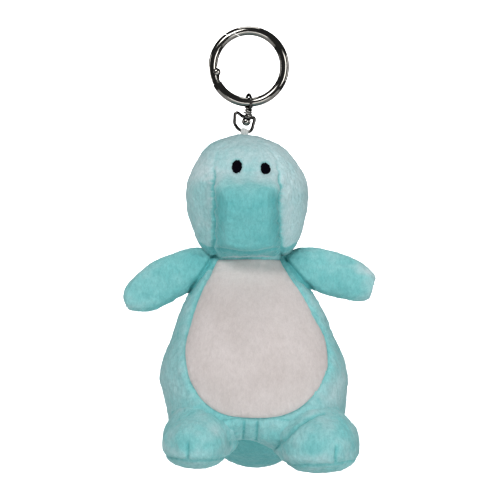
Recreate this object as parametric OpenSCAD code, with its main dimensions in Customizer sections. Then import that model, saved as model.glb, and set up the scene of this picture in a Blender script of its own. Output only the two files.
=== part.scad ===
// Plush keychain: a snap ring, a two-part swivel and a small stuffed dinosaur.
// Origin: centre of the snap ring. +Z up, +X to the viewer's right, the face looks towards -Y. Millimetres.

/* [Snap ring] */
// Mean radius of the ring wire
ring_r = 11.45; // [10:0.05:13]
// Diameter of the ring wire
ring_wire = 3.0; // [2.6:0.1:3.4]
// Radius of the hinge pin from the ring centre
hinge_r = 10.4; // [10:0.1:10.8]
// Angle of the hinge pin round the ring
hinge_a = 189.8; // [185:0.1:195]
// Angle of the seam below the hinge
seam_a = 208.2; // [204:0.1:212]
// Running gap between gate and ring
ring_gap = 0.16; // [0.1:0.01:0.3]

/* [Swivel] */
// Lean of the swivel from upright
lean = 10.5; // [0:0.5:14]
// Wire diameter of the eye
eye_wire = 0.9; // [0.7:0.05:1.1]
// Mean radius of the eye loop
eye_r = 2.45; // [2.3:0.05:2.6]
// Turn of the eye away from edge-on
eye_turn = 18; // [0:1:20]
// Wire diameter of the stirrup
stirrup_wire = 1.0; // [0.8:0.05:1.1]
// Outside width of the stirrup
stirrup_w = 6.6; // [6:0.1:7.5]

/* [Plush] */
// Thickness of the plush fabric as a share of the shape
skin = 0.045; // [0.03:0.005:0.06]
// Half depth of the body
body_d = 23; // [20:0.5:26]
// How far the muzzle stands out of the face
muzzle = 8; // [4:0.5:10]
// Half thickness of an arm
arm_d = 5.2; // [4:0.1:6.5]
// Width of an embroidered eye
eye_w = 3.1; // [2.5:0.1:4]
// Height of an embroidered eye
eye_h = 4.0; // [3:0.1:5]

/* [Hidden] */
$fn = 48;

metal = [0.55, 0.54, 0.52];
teal = [0.50, 0.74, 0.75];
white = [0.82, 0.79, 0.78];
black = [0.04, 0.03, 0.06];
stuffing = [0.93, 0.93, 0.90];

px = hinge_r * cos(hinge_a);
pz = hinge_r * sin(hinge_a);
wr = ring_wire / 2;

// ---------- ring ----------
// a flat figure in x and z, given a thickness along y
module slab(y0, y1) { translate([0, y1, 0]) rotate([90, 0, 0]) linear_extrude(y1 - y0) children(); }
// an arc of round wire about the y axis
module arc(r, w, a0, a1) { rotate([90, 0, 0]) rotate([0, 0, a0]) rotate_extrude(angle = a1 - a0) translate([r, 0]) circle(w / 2, $fn = 36); }
// the gate's half of the lap joint at the nose of the ring
module lap(g) {
  translate([px, pz]) circle(12.34 - g, $fn = 96);
  intersection() { translate([px, pz]) circle(13.54 - g, $fn = 96); circle(ring_r - g / 2, $fn = 96); }
}
module ring_body() {
  color(metal) union() {
    difference() {
      arc(ring_r, ring_wire, seam_a - 360, 135);
      slab(-4, 4) difference() { lap(-ring_gap / 2); translate([0, -30]) square([60, 60], center = true); }
    }
    // tongue that carries the hinge pin
    difference() {
      slab(-0.7, 0.1) union() {
        translate([px, pz]) circle(1.0);
        hull_tongue();
      }
      translate([px, 2, pz]) rotate([90, 0, 0]) cylinder(h = 4, r = 0.5);
    }
  }
}
module hull_tongue() {
  polygon([[px - 0.95, pz], [px + 0.95, pz],
    [(ring_r - 0.6) * cos(seam_a + 2), (ring_r - 0.6) * sin(seam_a + 2)],
    [(ring_r + 0.9) * cos(seam_a + 2), (ring_r + 0.9) * sin(seam_a + 2)]]);
}
module ring_gate() {
  color(metal) difference() {
    union() {
      intersection() {
        arc(ring_r, ring_wire, 92, seam_a - 0.4);
        slab(-4, 4) lap(ring_gap / 2);
      }
      translate([px, 1.3, pz]) rotate([90, 0, 0]) cylinder(h = 2.6, r = 1.3);
    }
    slab(-0.85, 0.85) polygon([[px - 6, pz + 1.9], [px + 3, pz + 1.6], [px + 3, pz - 9], [px - 6, pz - 9]]);
    translate([px, 3, pz]) rotate([90, 0, 0]) cylinder(h = 6, r = 0.58);
    // flat seats for the pin's heads
    translate([px, 3, pz]) rotate([90, 0, 0]) cylinder(h = 1.7, r = 1.2);
    translate([px, -1.3, pz]) rotate([90, 0, 0]) cylinder(h = 1.7, r = 1.2);
  }
}
module gate_hinge_pin() {
  color(metal) translate([px, 0, pz]) rotate([90, 0, 0]) union() {
    translate([0, 0, -1.4]) cylinder(h = 2.8, r = 0.5);
    for (s = [-1, 1]) scale([1, 1, s]) translate([0, 0, 1.36]) cylinder(h = 0.35, r = 1.0);
  }
}
module gate_spring() {
  color(metal) translate([px, 0.48, pz]) rotate([90, 0, 0]) difference() {
    translate([0, 0, -0.28]) cylinder(h = 0.56, r = 0.95);
    translate([0, 0, -1]) cylinder(h = 2, r = 0.53);
  }
}

// ---------- swivel ----------
eye_z = -11.35;
// the swivel's leaned frame, hung from the bottom of the eye
module leaned() { translate([0, 0, -13.4]) rotate([0, lean, 0]) children(); }
module swivel_eye() {
  color(metal) union() {
    translate([0, 0, eye_z]) rotate([0, 0, eye_turn]) rotate([0, 90, 0]) rotate_extrude() translate([eye_r, 0]) circle(eye_wire / 2, $fn = 24);
    leaned() translate([0, 0, -2.2]) cylinder(h = 2.0, r = 0.75, $fn = 32);
  }
}
module swivel_wrap() {
  color(metal) leaned() for (i = [0, 1]) translate([0, 0, -1.22 - 0.62 * i]) difference() {
    rotate_extrude($fn = 32) translate([1.25, 0]) circle(0.3, $fn = 20);
    cylinder(h = 3, r = 0.8, center = true, $fn = 32);
  }
}
module swivel_rivet() {
  color(metal) leaned() union() {
    translate([0, 0, -3.9]) cylinder(h = 1.68, r = 0.6, $fn = 32);
    translate([0, 0, -4.25]) difference() { sphere(1.45, $fn = 36); translate([0, 0, 1.9]) cube([4, 4, 1.4], center = true); }
  }
}
module swivel_washer() {
  color(metal) leaned() translate([0, 0, -2.47]) difference() {
    cylinder(h = 0.22, r = 1.35, $fn = 36);
    translate([0, 0, -1]) cylinder(h = 3, r = 0.64, $fn = 32);
  }
}
sw = (stirrup_w - stirrup_wire) / 2;
module bar(x0, z0, x1, z1, r) {
  l = sqrt((x1 - x0) * (x1 - x0) + (z1 - z0) * (z1 - z0));
  translate([x0, 0, z0]) rotate([0, atan2(x1 - x0, z1 - z0), 0]) cylinder(h = l, r = r, $fn = 28);
}
module knee(x, z, r) { translate([x, 0, z]) sphere(r, $fn = 28); }
module swivel_stirrup() {
  r = stirrup_wire / 2;
  color(metal) leaned() union() {
    difference() {
      translate([0, 0, -2.84]) cylinder(h = 0.28, r = 1.75, $fn = 36);
      translate([0, 0, -4]) cylinder(h = 3, r = 0.72, $fn = 32);
    }
    for (s = [-1, 1]) {
      bar(s * 1.68, -2.9, s * sw, -3.4, r * 0.7);
      knee(s * sw, -3.4, r * 1.1);
      bar(s * sw, -3.4, s * (sw + 0.1), -5.1, r);
      knee(s * (sw + 0.1), -5.1, r * 1.08);
      bar(s * (sw + 0.1), -5.1, s * 1.5, -7.3, r);
      knee(s * 1.5, -7.3, r * 1.1);
    }
    bar(-1.5, -7.3, 1.5, -7.3, r);
  }
}

// ---------- soft surfaces ----------
// tables of height, half width, centre
head_w = [[-61.2, 6.5], [-60.4, 11], [-58.8, 14.2], [-56.2, 16], [-52.3, 17.4], [-48.5, 18.4], [-44.6, 19.2], [-40.8, 19.4], [-37, 18.9], [-33.1, 17.4], [-29.3, 15.2], [-27.4, 14.0], [-25.4, 11.8], [-23.5, 7.8], [-22.1, 3.2], [-21.6, 0.6]];
head_f = [[-61.2, 6], [-60.4, 9.5], [-58.8, 12], [-52, 15.5], [-44, 17.6], [-38, 17.6], [-34, 16.9], [-31, 15.8], [-28, 13.6], [-25.4, 10.4], [-23.5, 7.0], [-22.1, 3], [-21.6, 0.5]];
head_b = [[-61.2, 6], [-60.4, 10.5], [-58.8, 13.5], [-52, 16.5], [-44, 18], [-37, 17.5], [-30, 14.5], [-25.4, 10.5], [-23.5, 7.2], [-22.1, 3], [-21.6, 0.5]];
head_x = [[-61, -0.1], [-48, -0.5], [-35, -0.7], [-29, -1.0], [-21.6, -2.0]];
body_w = [[-119.9, 1], [-119.4, 8], [-117.5, 17], [-114, 24], [-110, 27.8], [-104, 29.6], [-100, 30.2], [-94.6, 29.3], [-86.9, 26.2], [-79.2, 23.1], [-71.5, 19.2], [-66.5, 14.7], [-63.5, 11], [-62.2, 7], [-61.9, 1]];
body_h = [[-119.9, 0.8], [-119.4, 6], [-117.5, 12], [-114, 17], [-110, 20.3], [-104, 22.6], [-98, 23.4], [-92, 23], [-84, 21], [-76, 17.5], [-70, 14], [-66, 11], [-63.5, 8], [-62.2, 5], [-61.9, 0.8]];
body_x = [[-120, 2], [-108, 1.9], [-100, 1.5], [-87, 1.3], [-75, 0.7], [-62, 0]];
belly_l = [[-112.6, 0.6], [-111.6, -4.5], [-109.7, -9.5], [-104.7, -15.7], [-97.7, -19.2], [-90.7, -20], [-80.6, -18], [-69.8, -14], [-64.5, -10.2], [-61.9, -0.7]];
belly_r = [[-112.6, 2.6], [-111.6, 9.5], [-107, 17.7], [-100.8, 23.1], [-94.6, 25.1], [-88.4, 24.6], [-80.6, 21.2], [-72.9, 16.9], [-66.5, 11.6], [-64, 8.9], [-61.9, 0.5]];

function smooth(t) = let(c = min(1, max(0, t))) c * c * (3 - 2 * c);
function sgn_pow(c, n) = sign(c) * pow(abs(c), n);
function mix3(c, p, k) = c + (p - c) * k;

// head: u round the z axis (270 is the face), v from the crown down
head_c = [-0.6, 0, -42];
function head_z(v) = -21.6 - 39.6 * (1 - cos(180 * v)) / 2;
function head_p(u, v) =
  let(z = head_z(v), a = lookup(z, head_w), d = sin(u) < 0 ? lookup(z, head_f) : lookup(z, head_b),
      x = a * sgn_pow(cos(u), 0.88), y = d * sgn_pow(sin(u), 0.88),
      bump = sin(u) < 0 ? muzzle * smooth((12.5 - abs(x)) / 4.5) * smooth((-34 - z) / 7) * smooth((z + 61.4) / 4) : 0)
  [lookup(z, head_x) + x, y - bump, z];

// body: u round the z axis (270 is the belly), v from the neck down
body_c = [1, 0, -95];
function body_z(v) = -61.9 - 58 * (1 - cos(180 * v)) / 2;
function body_p(u, v) =
  let(z = body_z(v), a = lookup(z, body_w), d = lookup(z, body_h) * body_d / 23)
  [lookup(z, body_x) + a * cos(u), d * sin(u), z];
function belly_u(v, t) =
  let(z = body_z(v), a = lookup(z, body_w), c = lookup(z, body_x),
      x = lookup(z, t), q = min(0.995, max(-0.995, (x - c) / a)))
  z < -112.6 ? 270.5 : 360 - acos(q);

// arm: v from the root to the tip, u round the arm; m is 1 for the right arm and -1 for the left
arm_c = [[-27.5, 0, -69.5], [28, 0, -67]];
arm_root = [[-16.4, -65.0], [17.2, -65.4]];
arm_dir = [[-0.925, -0.38], [0.985, -0.17]];
arm_len = [26.6, 24.0];
arm_shear = [0.85, 0.62];
arm_half = [[0, 0.6], [0.02, 2.0], [0.07, 3.6], [0.15, 5.0], [0.28, 6.5], [0.5, 7.1], [0.7, 6.8], [0.85, 5.9], [0.93, 4.6], [0.98, 2.6], [1, 0.6]];
function arm_p(i, u, v) =
  let(t = (1 - cos(180 * v)) / 2, h = lookup(t, arm_half) * cos(u),
      s = arm_len[i] * t - arm_shear[i] * h * (1 - t) * (1 - t),
      e = arm_dir[i], n = i == 0 ? [e[1], -e[0]] : [-e[1], e[0]],
      d = arm_d * lookup(t, arm_half) / 7.1 * sin(u))
  [arm_root[i][0] + e[0] * s + n[0] * h, d, arm_root[i][1] + e[1] * s + n[1] * h];

function surf(k, u, v) = k == 0 ? head_p(u, v) : k == 1 ? body_p(u, v) : arm_p(k - 2, u, v);
function centre(k) = k == 0 ? head_c : k == 1 ? body_c : arm_c[k - 2];
function range(name, v) =
  name == "gusset" ? [270 - 33 + 10 * smooth((0.4 - v) / 0.4), 270 + 33 - 10 * smooth((0.4 - v) / 0.4)] :
  name == "chin" ? [270 - 32, 270 + 32] :
  name == "face_left" ? [180, 270 - 33.6 + 10 * smooth((0.4 - v) / 0.4)] :
  name == "face_right" ? [270 + 33.6 - 10 * smooth((0.4 - v) / 0.4), 360] :
  name == "nape" ? [0.3, 179.7] :
  name == "belly" ? [belly_u(v, belly_l) + 2, belly_u(v, belly_r) - 2] :
  name == "side_left" ? [90.3, belly_u(v, belly_l)] :
  name == "side_right" ? [belly_u(v, belly_r), 449.7] :
  name == "spine" ? [89.2, 90.8] :
  name == "mouth" ? [240, 300] :
  name == "front" ? [180.3, 359.7] : [0.3, 179.7];

// a piece of fabric: the part of surface k between v0 and v1, from scale k1 out to scale k2
module fabric(k, name, v0, v1, nu, nv, k1, k2) {
  c = centre(k);
  m = nu + 1;
  outer = [for (j = [0:nv]) for (i = [0:nu]) let(v = v0 + (v1 - v0) * j / nv, r = range(name, v)) mix3(c, surf(k, r[0] + (r[1] - r[0]) * i / nu, v), k2)];
  inner = [for (j = [0:nv]) for (i = [0:nu]) let(v = v0 + (v1 - v0) * j / nv, r = range(name, v)) mix3(c, surf(k, r[0] + (r[1] - r[0]) * i / nu, v), k1)];
  o = len(outer);
  polyhedron(points = concat(outer, inner), faces = concat(
    [for (j = [0:nv - 1]) for (i = [0:nu - 1]) [j * m + i, j * m + i + 1, (j + 1) * m + i + 1]],
    [for (j = [0:nv - 1]) for (i = [0:nu - 1]) [j * m + i, (j + 1) * m + i + 1, (j + 1) * m + i]],
    [for (j = [0:nv - 1]) for (i = [0:nu - 1]) [o + j * m + i, o + (j + 1) * m + i + 1, o + j * m + i + 1]],
    [for (j = [0:nv - 1]) for (i = [0:nu - 1]) [o + j * m + i, o + (j + 1) * m + i, o + (j + 1) * m + i + 1]],
    [for (i = [0:nu - 1]) [i, o + i, i + 1]],
    [for (i = [0:nu - 1]) [i + 1, o + i, o + i + 1]],
    [for (i = [0:nu - 1]) [nv * m + i, nv * m + i + 1, o + nv * m + i]],
    [for (i = [0:nu - 1]) [nv * m + i + 1, o + nv * m + i + 1, o + nv * m + i]],
    [for (j = [0:nv - 1]) [j * m, (j + 1) * m, o + j * m]],
    [for (j = [0:nv - 1]) [(j + 1) * m, o + (j + 1) * m, o + j * m]],
    [for (j = [0:nv - 1]) [j * m + nu, o + j * m + nu, (j + 1) * m + nu]],
    [for (j = [0:nv - 1]) [(j + 1) * m + nu, o + j * m + nu, o + (j + 1) * m + nu]]));
}
// stuffing: the whole of surface k at scale k1, closed at both ends
module stuffed(k, nu, nv, k1) {
  c = centre(k);
  ring = [for (j = [0:nv]) for (i = [0:nu - 1]) mix3(c, surf(k, 360 * i / nu, 0.02 + 0.96 * j / nv), k1)];
  n = len(ring);
  top = [for (a = [0:2]) ring[0][a] / 2 + ring[nu / 2][a] / 2];
  bot = [for (a = [0:2]) ring[nv * nu][a] / 2 + ring[nv * nu + nu / 2][a] / 2];
  polyhedron(points = concat(ring, [top, bot]), faces = concat(
    [for (j = [0:nv - 1]) for (i = [0:nu - 1]) [j * nu + i, j * nu + (i + 1) % nu, (j + 1) * nu + (i + 1) % nu]],
    [for (j = [0:nv - 1]) for (i = [0:nu - 1]) [j * nu + i, (j + 1) * nu + (i + 1) % nu, (j + 1) * nu + i]],
    [for (i = [0:nu - 1]) [n, (i + 1) % nu, i]],
    [for (i = [0:nu - 1]) [n + 1, nv * nu + i, nv * nu + (i + 1) % nu]]));
}
ki = 1 - skin;
kf = 1 - skin - 0.035;

// ---------- head ----------
module hanging_loop() {
  color(white) difference() {
    translate([-1.4, 0, -20.85]) rotate([0, 90, 0]) rotate_extrude() translate([1.5, 0]) circle(0.35, $fn = 16);
    translate([-1.4, 0, -23.6]) cube([6, 6, 4], center = true);
  }
}
module head_gusset() { color(teal) fabric(0, "gusset", 0.03, 0.86, 14, 16, ki, 1); }
module head_side_left() { color(teal) fabric(0, "face_left", 0.03, 0.97, 10, 16, ki, 1); }
module head_side_right() { color(teal) fabric(0, "face_right", 0.03, 0.97, 10, 16, ki, 1); }
module head_back() { color(teal) fabric(0, "nape", 0.03, 0.97, 16, 16, ki, 1); }
module chin() { color(teal) fabric(0, "chin", 0.862, 0.97, 14, 4, ki, 1); }
module head_filling() { color(stuffing) stuffed(0, 28, 18, kf); }
module mouth_stitch() { color([0.3, 0.5, 0.53]) fabric(0, "mouth", 0.852, 0.86, 14, 1, 1.002, 1.012); }
module eye_at(u, v) {
  p = head_p(u, v);
  q = head_p(u, v + 0.02);
  s = head_p(u + 2, v);
  n = cross(s - p, q - p);
  m = n / norm(n) * (n[1] > 0 ? -1 : 1);
  color(black) translate(p + m * 0.40) rotate([0, 0, atan2(m[0], -m[1])]) rotate([-asin(m[2]), 0, 0]) intersection() {
    scale([eye_w / 2, 0.75, eye_h / 2]) sphere(1, $fn = 36);
    translate([0, -2, 0]) cube([8, 4, 8], center = true);
  }
}
module eye_left() { eye_at(258.5, 0.353); }
module eye_right() { eye_at(289.5, 0.363); }

// ---------- body ----------
module belly_panel() { color(white) fabric(1, "belly", 0.14, 0.79, 12, 18, ki, 1); }
module body_side_left() { color(teal) fabric(1, "side_left", 0.04, 0.97, 14, 22, ki, 1); }
module body_side_right() { color(teal) fabric(1, "side_right", 0.04, 0.97, 14, 22, ki, 1); }
module body_filling() { color(stuffing) stuffed(1, 32, 22, kf); }
module back_seam() { color([0.3, 0.5, 0.53]) fabric(1, "spine", 0.1, 0.74, 1, 16, 1.008, 1.018); }

module arm_left_front() { color(teal) fabric(2, "front", 0.06, 0.96, 10, 10, 0.87, 1); }
module arm_left_back() { color(teal) fabric(2, "rear", 0.06, 0.96, 10, 10, 0.87, 1); }
module arm_left_filling() { color(stuffing) stuffed(2, 20, 10, 0.83); }
module arm_right_front() { color(teal) fabric(3, "front", 0.06, 0.96, 10, 10, 0.87, 1); }
module arm_right_back() { color(teal) fabric(3, "rear", 0.06, 0.96, 10, 10, 0.87, 1); }
module arm_right_filling() { color(stuffing) stuffed(3, 20, 10, 0.83); }

// ---------- feet and tail ----------
foot_c = [[-16.1, -20.3, -119.9], [22.6, -20.2, -120.2]];
foot_s = [[11.4, 11, 7.7], [13.0, 11.5, 9.0]];
module foot_upper(i) {
  color(teal) translate(foot_c[i]) difference() {
    scale(foot_s[i]) sphere(1);
    scale(foot_s[i] - [0.9, 0.9, 0.9]) sphere(1);
    translate([0, 0, -20 - foot_s[i][2] * 0.55]) cube(40, center = true);
  }
}
module foot_sole(i) {
  color(teal) translate(foot_c[i]) difference() {
    scale(foot_s[i]) sphere(1);
    scale(foot_s[i] - [0.9, 0.9, 0.9]) sphere(1);
    translate([0, 0, 19.95 - foot_s[i][2] * 0.55]) cube(40, center = true);
  }
}
module foot_filling(i) { color(stuffing) translate(foot_c[i]) scale(foot_s[i] - [1, 1, 1]) sphere(1); }
module toe(i, dx) {
  color([0.3, 0.5, 0.53]) translate(foot_c[i]) difference() {
    intersection() {
      scale(foot_s[i] + [0.35, 0.35, 0.35]) sphere(1);
      translate([dx, -20, 1.5]) cube([0.6, 40, 6.5], center = true);
    }
    scale(foot_s[i] + [0.02, 0.02, 0.02]) sphere(1);
  }
}
module foot_left_upper() { foot_upper(0); }
module foot_left_sole() { foot_sole(0); }
module foot_left_filling() { foot_filling(0); }
module toe_stitch_left() { toe(0, -3.2); }
module foot_right_upper() { foot_upper(1); }
module foot_right_sole() { foot_sole(1); }
module foot_right_filling() { foot_filling(1); }
module toe_stitch_right() { toe(1, 4.2); }

tail_c = [2.1, 27.3, -120.9];
tail_s = [13.2, 15, 8.6];
module tail_upper() {
  color(teal) translate(tail_c) difference() {
    scale(tail_s) sphere(1);
    scale(tail_s - [0.9, 0.9, 0.9]) sphere(1);
    translate([0, 0, -20]) cube(40, center = true);
  }
}
module tail_under() {
  color(teal) translate(tail_c) difference() {
    scale(tail_s) sphere(1);
    scale(tail_s - [0.9, 0.9, 0.9]) sphere(1);
    translate([0, 0, 19.95]) cube(40, center = true);
  }
}
module tail_filling() { color(stuffing) translate(tail_c) scale(tail_s - [1, 1, 1]) sphere(1); }

ring_body();
ring_gate();
gate_hinge_pin();
gate_spring();
swivel_eye();
swivel_wrap();
swivel_rivet();
swivel_washer();
swivel_stirrup();
hanging_loop();
head_gusset();
head_side_left();
head_side_right();
head_back();
chin();
head_filling();
eye_left();
eye_right();
mouth_stitch();
belly_panel();
body_side_left();
body_side_right();
body_filling();
back_seam();
arm_left_front();
arm_left_back();
arm_left_filling();
arm_right_front();
arm_right_back();
arm_right_filling();
foot_left_upper();
foot_left_sole();
foot_left_filling();
toe_stitch_left();
foot_right_upper();
foot_right_sole();
foot_right_filling();
toe_stitch_right();
tail_upper();
tail_under();
tail_filling();
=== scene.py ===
import math
import bpy
import numpy as np
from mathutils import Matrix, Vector


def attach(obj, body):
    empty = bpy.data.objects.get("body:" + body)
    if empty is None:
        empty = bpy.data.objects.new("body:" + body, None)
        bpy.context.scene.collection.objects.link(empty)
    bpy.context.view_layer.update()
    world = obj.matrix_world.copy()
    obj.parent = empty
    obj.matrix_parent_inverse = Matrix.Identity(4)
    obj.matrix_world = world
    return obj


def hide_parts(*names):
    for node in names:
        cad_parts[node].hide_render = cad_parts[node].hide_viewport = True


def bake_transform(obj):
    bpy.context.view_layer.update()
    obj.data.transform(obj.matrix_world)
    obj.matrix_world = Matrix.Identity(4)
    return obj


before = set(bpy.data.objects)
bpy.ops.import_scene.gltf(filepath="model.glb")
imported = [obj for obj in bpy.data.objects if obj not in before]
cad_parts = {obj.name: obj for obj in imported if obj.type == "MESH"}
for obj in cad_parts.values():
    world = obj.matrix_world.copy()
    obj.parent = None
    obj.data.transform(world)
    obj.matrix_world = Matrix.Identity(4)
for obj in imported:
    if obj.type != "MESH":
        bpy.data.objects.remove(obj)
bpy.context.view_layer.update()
MM = 0.001


# ---------------------------------------------------------------- numeric helpers
def pchip(table):
    """A smooth monotone curve through a short table of (key, value) pairs."""
    t = sorted(table)
    x = np.array([p[0] for p in t], float)
    y = np.array([p[1] for p in t], float)
    h = np.diff(x)
    d = np.diff(y) / h
    m = np.zeros_like(y)
    for i in range(1, len(x) - 1):
        if d[i - 1] * d[i] > 0:
            w1, w2 = 2 * h[i] + h[i - 1], h[i] + 2 * h[i - 1]
            m[i] = (w1 + w2) / (w1 / d[i - 1] + w2 / d[i])
    m[0], m[-1] = d[0], d[-1]

    def f(q):
        q = np.clip(np.asarray(q, float), x[0], x[-1])
        i = np.clip(np.searchsorted(x, q) - 1, 0, len(x) - 2)
        s = (q - x[i]) / h[i]
        return (y[i] * (1 + 2 * s) * (1 - s) ** 2 + h[i] * m[i] * s * (1 - s) ** 2
                + y[i + 1] * s * s * (3 - 2 * s) + h[i] * m[i + 1] * s * s * (s - 1))
    return f


def smooth(t):
    t = np.clip(t, 0, 1)
    return t * t * (3 - 2 * t)


def _hash(ix, iy, iz, seed):
    n = (ix * 374761393 + iy * 668265263 + iz * 2147483647 + seed * 1274126177) & 0xFFFFFFFF
    n = ((n ^ (n >> 13)) * 1274126177) & 0xFFFFFFFF
    n = (n ^ (n >> 16)) & 0xFFFFFFFF
    return n / 4294967295.0 * 2 - 1


def vnoise(P, size, seed):
    """Smooth value noise in -1..1; size is the feature size in millimetres."""
    q = P / size
    i = np.floor(q).astype(np.int64)
    f = q - i
    f = f * f * (3 - 2 * f)
    out = np.zeros(P.shape[:-1])
    for a in (0, 1):
        for b in (0, 1):
            for c in (0, 1):
                w = (f[..., 0] if a else 1 - f[..., 0]) * (f[..., 1] if b else 1 - f[..., 1]) * (f[..., 2] if c else 1 - f[..., 2])
                out += w * _hash(i[..., 0] + a, i[..., 1] + b, i[..., 2] + c, seed)
    return out


def grid_normals(P, wrap):
    """Outward normals of a (rows, columns, 3) grid; columns run anticlockwise seen from above, rows run down."""
    if wrap:
        du = np.roll(P, -1, 1) - np.roll(P, 1, 1)
    else:
        du = np.gradient(P, axis=1)
    dv = np.gradient(P, axis=0)
    n = np.cross(dv, du)
    ln = np.linalg.norm(n, axis=2, keepdims=True)
    n = n / np.maximum(ln, 1e-9)
    return n


def grid_object(name, P, wrap=True, caps=True, flip=False):
    """A mesh object from a grid of points in millimetres."""
    nv, nu = P.shape[:2]
    verts = (P.reshape(-1, 3) * MM)
    idx = np.arange(nv * nu).reshape(nv, nu)
    if wrap:
        nxt = np.roll(idx, -1, 1)
        a, b, c, d = idx[:-1], nxt[:-1], nxt[1:], idx[1:]
    else:
        a, b, c, d = idx[:-1, :-1], idx[:-1, 1:], idx[1:, 1:], idx[1:, :-1]
    quads = np.stack([a, d, c, b], -1).reshape(-1, 4)
    faces = [tuple(q) for q in quads.tolist()]
    verts = verts.tolist()
    if wrap and caps:
        top, bot = P[0].mean(0) * MM, P[-1].mean(0) * MM
        verts += [top.tolist(), bot.tolist()]
        t, o = len(verts) - 2, len(verts) - 1
        for i in range(nu):
            j = (i + 1) % nu
            faces.append((t, int(idx[0, i]), int(idx[0, j])))
            faces.append((o, int(idx[-1, j]), int(idx[-1, i])))
    if flip:
        faces = [f[::-1] for f in faces]
    me = bpy.data.meshes.new(name)
    me.from_pydata(verts, [], faces)
    me.polygons.foreach_set("use_smooth", [True] * len(me.polygons))
    me.update()
    ob = bpy.data.objects.new(name, me)
    bpy.context.scene.collection.objects.link(ob)
    return ob


def tube(name, path, r, sides=16, closed=False, radii=None):
    """A round wire along a path of points in millimetres."""
    p = np.asarray(path, float)
    n = len(p)
    t = (np.roll(p, -1, 0) - np.roll(p, 1, 0)) if closed else np.gradient(p, axis=0)
    t /= np.linalg.norm(t, axis=1, keepdims=True)
    up = np.array([0.0, 0.0, 1.0]) if abs(t[0][2]) < 0.9 else np.array([0.0, 1.0, 0.0])
    nrm = np.cross(t[0], up)
    nrm /= np.linalg.norm(nrm)
    ring = []
    rr = np.full(n, r) if radii is None else np.asarray(radii, float)
    for k in range(n):
        nrm = nrm - t[k] * np.dot(nrm, t[k])
        nrm /= np.linalg.norm(nrm)
        bi = np.cross(t[k], nrm)
        a = np.linspace(0, 2 * math.pi, sides, endpoint=False)
        ring.append(p[k] + rr[k] * (np.cos(a)[:, None] * nrm + np.sin(a)[:, None] * bi))
    P = np.array(ring)
    if closed:
        verts = (P.reshape(-1, 3) * MM).tolist()
        idx = np.arange(n * sides).reshape(n, sides)
        faces = []
        for k in range(n):
            k2 = (k + 1) % n
            # match the frame's twist where the loop closes
            off = 0
            if k2 == 0:
                off = int(np.argmin([np.linalg.norm(P[k][0] - P[0][m]) for m in range(sides)]))
            for s in range(sides):
                s2 = (s + 1) % sides
                faces.append((int(idx[k, s]), int(idx[k, s2]), int(idx[k2, (s2 + off) % sides]), int(idx[k2, (s + off) % sides])))
        me = bpy.data.meshes.new(name)
        me.from_pydata(verts, [], faces)
        me.polygons.foreach_set("use_smooth", [True] * len(me.polygons))
        me.update()
        ob = bpy.data.objects.new(name, me)
        bpy.context.scene.collection.objects.link(ob)
        return ob
    ob = grid_object(name, P, True, True)
    return ob


# ---------------------------------------------------------------- measured shape, in millimetres, as in the CAD
head_w = pchip([(-61.2, 6.5), (-60.4, 11), (-58.8, 14.2), (-56.2, 16), (-52.3, 17.4), (-48.5, 18.4), (-44.6, 19.2), (-40.8, 19.4), (-37, 18.9), (-33.1, 17.4), (-29.3, 15.2), (-27.4, 14.0), (-25.4, 11.8), (-23.5, 7.8), (-22.1, 3.2), (-21.6, 0.1)])
head_f = pchip([(-61.2, 6.6), (-60.4, 9.3), (-58.8, 11.6), (-52, 15.3), (-44, 17.6), (-38, 17.6), (-34, 16.9), (-31, 15.8), (-28, 13.6), (-25.4, 10.4), (-23.5, 7.0), (-22.1, 3), (-21.6, 0.1)])
head_b = pchip([(-61.2, 6), (-60.4, 10.5), (-58.8, 13.5), (-52, 16.5), (-44, 18), (-37, 17.5), (-30, 14.5), (-25.4, 10.5), (-23.5, 7.2), (-22.1, 3), (-21.6, 0.1)])
head_x = pchip([(-61, -0.1), (-48, -0.5), (-35, -0.7), (-29, -1.0), (-21.6, -2.0)])
body_w = pchip([(-119.9, 0.2), (-119.4, 8), (-117.5, 17), (-114, 24), (-110, 27.8), (-104, 29.6), (-100, 30.2), (-94.6, 29.3), (-86.9, 26.2), (-79.2, 23.1), (-71.5, 19.2), (-66.5, 15.2), (-63.5, 12.4), (-61, 10.6), (-58.5, 9.2), (-57.6, 5), (-57.5, 0.2)])
body_h = pchip([(-119.9, 0.2), (-119.4, 6), (-117.5, 12), (-114, 17), (-110, 20.3), (-104, 22.6), (-98, 23.4), (-92, 23), (-84, 21), (-76, 17.5), (-70, 14), (-66, 11.2), (-63.5, 9.4), (-61, 8.2), (-58.5, 7), (-57.6, 4), (-57.5, 0.2)])
body_front = pchip([(-119.9, 0.2), (-119.5, 8), (-118.8, 13.4), (-117, 17.4), (-114, 20.0), (-110, 21.8), (-104, 23.2), (-98, 23.6), (-92, 23), (-84, 21), (-76, 17.5), (-70, 14), (-66, 11.2), (-63.5, 9.4), (-61, 8.2), (-58.5, 7), (-57.6, 4), (-57.5, 0.2)])
body_x = pchip([(-120, 2), (-108, 1.9), (-100, 1.5), (-87, 1.3), (-75, 0.7), (-62, 0), (-57, 0)])
belly_l = pchip([(-111.7, 1.2), (-111.3, -2.8), (-110.5, -6.5), (-109.0, -10.0), (-104.3, -15.9), (-97.7, -19.2), (-90.7, -20), (-80.6, -18), (-69.8, -14), (-64.5, -11.4), (-61.7, -10.6)])
belly_r = pchip([(-111.7, 2.2), (-111.4, 5.8), (-110.5, 10.2), (-106.5, 17.7), (-100.6, 23.1), (-94.6, 25.1), (-88.4, 24.6), (-80.6, 21.2), (-72.9, 16.9), (-66.5, 12.6), (-61.7, 10.2)])
MUZZLE = 8.0


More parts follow.
